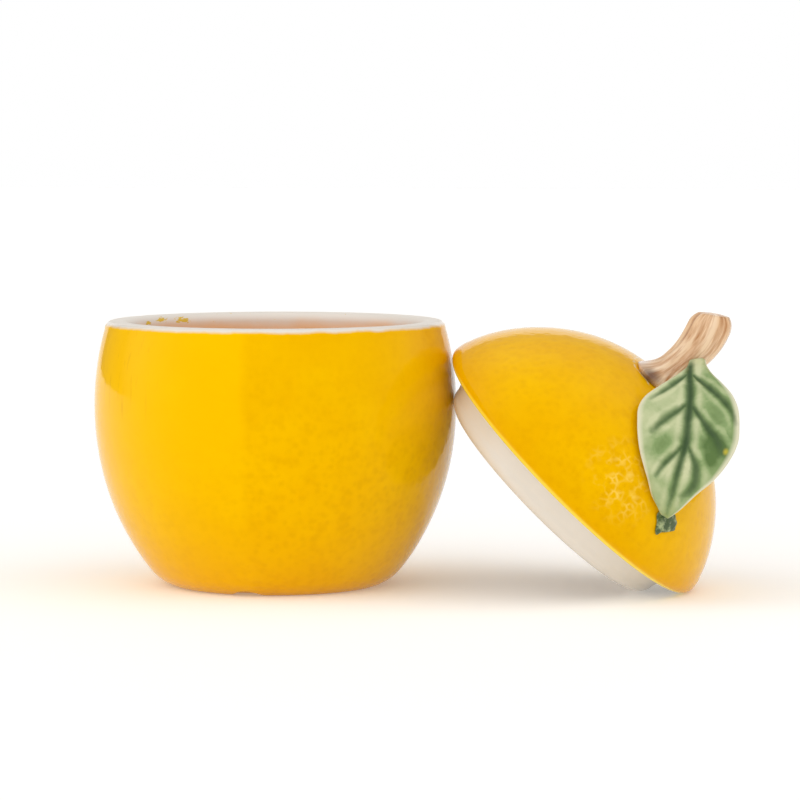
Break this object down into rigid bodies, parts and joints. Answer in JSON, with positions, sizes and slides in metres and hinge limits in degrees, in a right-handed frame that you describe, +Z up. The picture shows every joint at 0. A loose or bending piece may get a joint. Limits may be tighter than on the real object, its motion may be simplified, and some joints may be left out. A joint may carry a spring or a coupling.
{
  "type": "jam pot",
  "caption": "Lemon-shaped glazed ceramic jam pot with a thick pale lip, and a domed lid with a locating ring, a stalk handle and a carved leaf.",
  "frame": {"origin": "centre of the flat foot that the pot stands on, at table height", "axes": "+Z up along the pot's axis; +X towards the lid, which is off and leans on the pot's side; -Y towards the side that the picture shows"},
  "size_m": [0.1821, 0.101, 0.0771],
  "materials": {
    "yellow_glaze": "warm yellow glaze, glossy, with fine orange-peel dimples",
    "cream_glaze": "off-white clear glaze, glossy",
    "brown_glaze": "tan glaze with darker brown strokes along the grooves",
    "green_glaze": "pale green glaze, dark green in the carved veins",
    "dark_green_glaze": "dark green glaze, glossy"
  },
  "bodies": {
    "pot": {"pot_body": "yellow_glaze"},
    "lid": {"lid_dome": "yellow_glaze", "lid_ring": "cream_glaze", "stalk": "brown_glaze", "leaf": "green_glaze", "leaf_tip_pad": "dark_green_glaze"}
  },
  "joints": [
    {"name": "lid_lift", "type": "slide", "parent": "pot", "child": "lid", "axis": [0, 0, 1], "range_m": [0, 0.1]}
  ]
}
